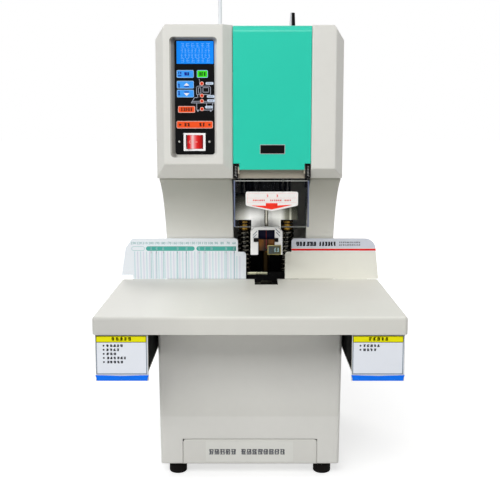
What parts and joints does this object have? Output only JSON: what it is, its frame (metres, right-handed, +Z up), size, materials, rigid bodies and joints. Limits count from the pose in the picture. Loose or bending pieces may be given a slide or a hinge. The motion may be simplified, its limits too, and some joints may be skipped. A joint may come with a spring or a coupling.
{
  "type": "document riveting machine",
  "caption": "Electric desk press that drills paper stacks and rivets them with nylon tube: head with control panel, sprung press foot, clear guard, work table and tool drawers.",
  "frame": {"origin": "on the floor, below the middle of the machine's outer box", "axes": "+Z up, -Y towards the operator (the front), +X to the operator's right"},
  "size_m": [0.42, 0.43, 0.723],
  "materials": {
    "casing_white": "fine textured powder coat",
    "plate_white": "satin powder coat",
    "green_paint": "glossy paint",
    "lip_grey": "satin paint",
    "zinc": "zinc plated",
    "frame_black": "black paint",
    "rubber": "matt",
    "belt_rubber": "matt",
    "panel_black": "printed film",
    "screen": "backlit screen behind a clear window",
    "lamp_red": "clear red",
    "key_blue": "film key",
    "key_green": "film key",
    "key_orange": "film key",
    "board": "glass fibre board",
    "switch_black": "moulded",
    "switch_white": "moulded",
    "switch_red": "moulded, lit from inside",
    "acrylic": "clear cast sheet",
    "arm_black": "moulded",
    "sign_print": "printed",
    "screw_steel": "nickel plated",
    "frame_steel": "machined",
    "column_chrome": "ground and chromed",
    "spring_steel": "drawn wire",
    "motor_black": "black paint",
    "crosshead_grey": "painted casting",
    "bush_brass": "turned, oiled",
    "guide_amber": "turned, see-through",
    "housing_alloy": "turned",
    "bearing_steel": "ground",
    "yoke_white": "machined acetal",
    "pad_dark": "turned, oiled nylon",
    "tube_nylon": "extruded nylon",
    "pin_grip": "moulded grip"
  },
  "bodies": {
    "frame": {"base_casing": "casing_white", "base_plate": "zinc", "rubber_feet": "rubber", "table_top": "casing_white", "guide_plate_left": "plate_white", "guide_plate_right": "plate_white", "box_housings": "frame_black", "neck_casing": "casing_white", "head_shell_left": "casing_white", "head_shell_right": "casing_white", "top_rear_panel": "casing_white", "center_lip": "lip_grey", "back_cover": "casing_white", "cover_screws": "screw_steel", "power_inlet": "switch_black", "control_panel": "panel_black", "lcd_screen": "screen", "panel_leds": "lamp_red", "control_board": "board", "rocker_frame": "switch_white", "hinge_pins": "screw_steel", "frame_uprights": "frame_black", "frame_bed": "frame_black", "frame_crown": "frame_black", "guide_columns": "column_chrome", "column_springs": "spring_steel", "lift_motor": "motor_black", "anvil_block": "frame_black", "drill_pad": "pad_dark", "back_stop": "frame_steel"},
    "crosshead": {"crosshead": "crosshead_grey", "crosshead_bushes": "bush_brass", "spindle_housing": "housing_alloy", "spindle_bearings": "bearing_steel", "drill_motor": "motor_black", "drill_belt": "belt_rubber", "press_spring": "spring_steel"},
    "spindle": {"drill_spindle": "bearing_steel", "drill_bit": "bearing_steel"},
    "motor_shaft": {"motor_pulley": "housing_alloy"},
    "press_foot": {"press_yoke": "yoke_white", "drill_guide": "guide_amber", "press_stem": "frame_steel"},
    "lift_screw": {"lift_screw": "frame_steel"},
    "guard": {"guard_shield": "acrylic", "guard_arms": "arm_black", "pointer_sign": "sign_print"},
    "cover": {"green_cover": "green_paint"},
    "chip_drawer": {"chip_drawer": "casing_white"},
    "tool_box_left": {"tool_box_left": "casing_white"},
    "tool_box_right": {"tool_box_right": "casing_white"},
    "rocker": {"rocker_button": "switch_red"},
    "key_menu": {"key_menu": "key_blue"},
    "key_start": {"key_start": "key_green"},
    "key_up": {"key_up": "key_blue"},
    "key_down": {"key_down": "key_blue"},
    "key_stop": {"key_stop": "key_orange"},
    "rivet_tube": {"nylon_tube": "tube_nylon"},
    "clearing_pin": {"clearing_pin": "pin_grip"}
  },
  "joints": [
    {"name": "crosshead_lift", "type": "slide", "parent": "frame", "child": "crosshead", "axis": [0, 0, 1], "range_m": [-0.0465, 0], "deforming": ["column_springs"]},
    {"name": "lift_screw_turn", "type": "hinge", "parent": "frame", "child": "lift_screw", "pos_m": [0.026, 0.1, 0.42], "axis": [0, 0, 1], "range_deg": [-1680, 0]},
    {"name": "spindle_spin", "type": "hinge", "parent": "crosshead", "child": "spindle", "pos_m": [0.026, 0.051, 0.42], "axis": [0, 0, 1], "continuous": true},
    {"name": "motor_spin", "type": "hinge", "parent": "crosshead", "child": "motor_shaft", "pos_m": [0.026, 0.15, 0.47], "axis": [0, 0, 1], "continuous": true},
    {"name": "press_slide", "type": "slide", "parent": "crosshead", "child": "press_foot", "axis": [0, 0, 1], "range_m": [0, 0.045], "stiffness_N_per_m": 400, "springref_m": -0.02, "deforming": ["press_spring"]},
    {"name": "guard_hinge", "type": "hinge", "parent": "frame", "child": "guard", "pos_m": [0.0315, -0.056, 0.446], "axis": [-1, 0, 0], "range_deg": [0, 110]},
    {"name": "cover_hinge", "type": "hinge", "parent": "frame", "child": "cover", "pos_m": [0.032, 0.02, 0.65175], "axis": [-1, 0, 0], "range_deg": [0, 75]},
    {"name": "chip_drawer_slide", "type": "slide", "parent": "frame", "child": "chip_drawer", "axis": [0, -1, 0], "range_m": [0, 0.16]},
    {"name": "tool_box_left_slide", "type": "slide", "parent": "frame", "child": "tool_box_left", "axis": [0, -1, 0], "range_m": [0, 0.15]},
    {"name": "tool_box_right_slide", "type": "slide", "parent": "frame", "child": "tool_box_right", "axis": [0, -1, 0], "range_m": [0, 0.15]},
    {"name": "rocker_tilt", "type": "hinge", "parent": "frame", "child": "rocker", "pos_m": [-0.0802, -0.0665, 0.4873], "axis": [0, 0, -1], "range_deg": [0, 14]},
    {"name": "key_menu_press", "type": "slide", "parent": "frame", "child": "key_menu", "axis": [0, 1, 0], "range_m": [0, 0.0008], "stiffness_N_per_m": 500, "springref_m": -0.001},
    {"name": "key_start_press", "type": "slide", "parent": "frame", "child": "key_start", "axis": [0, 1, 0], "range_m": [0, 0.0008], "stiffness_N_per_m": 500, "springref_m": -0.001},
    {"name": "key_up_press", "type": "slide", "parent": "frame", "child": "key_up", "axis": [0, 1, 0], "range_m": [0, 0.0008], "stiffness_N_per_m": 500, "springref_m": -0.001},
    {"name": "key_down_press", "type": "slide", "parent": "frame", "child": "key_down", "axis": [0, 1, 0], "range_m": [0, 0.0008], "stiffness_N_per_m": 500, "springref_m": -0.001},
    {"name": "key_stop_press", "type": "slide", "parent": "frame", "child": "key_stop", "axis": [0, 1, 0], "range_m": [0, 0.0008], "stiffness_N_per_m": 500, "springref_m": -0.001},
    {"name": "tube_lift", "type": "slide", "parent": "frame", "child": "rivet_tube", "axis": [0, 0, 1], "range_m": [0, 0.12]},
    {"name": "pin_lift", "type": "slide", "parent": "frame", "child": "clearing_pin", "axis": [0, 0, 1], "range_m": [0, 0.11]}
  ],
  "couplings": [
    {"joint": "lift_screw_turn", "follows": "crosshead_lift", "rad_per_m": 628.32},
    {"joint": "motor_spin", "follows": "spindle_spin", "ratio": 1.25}
  ]
}
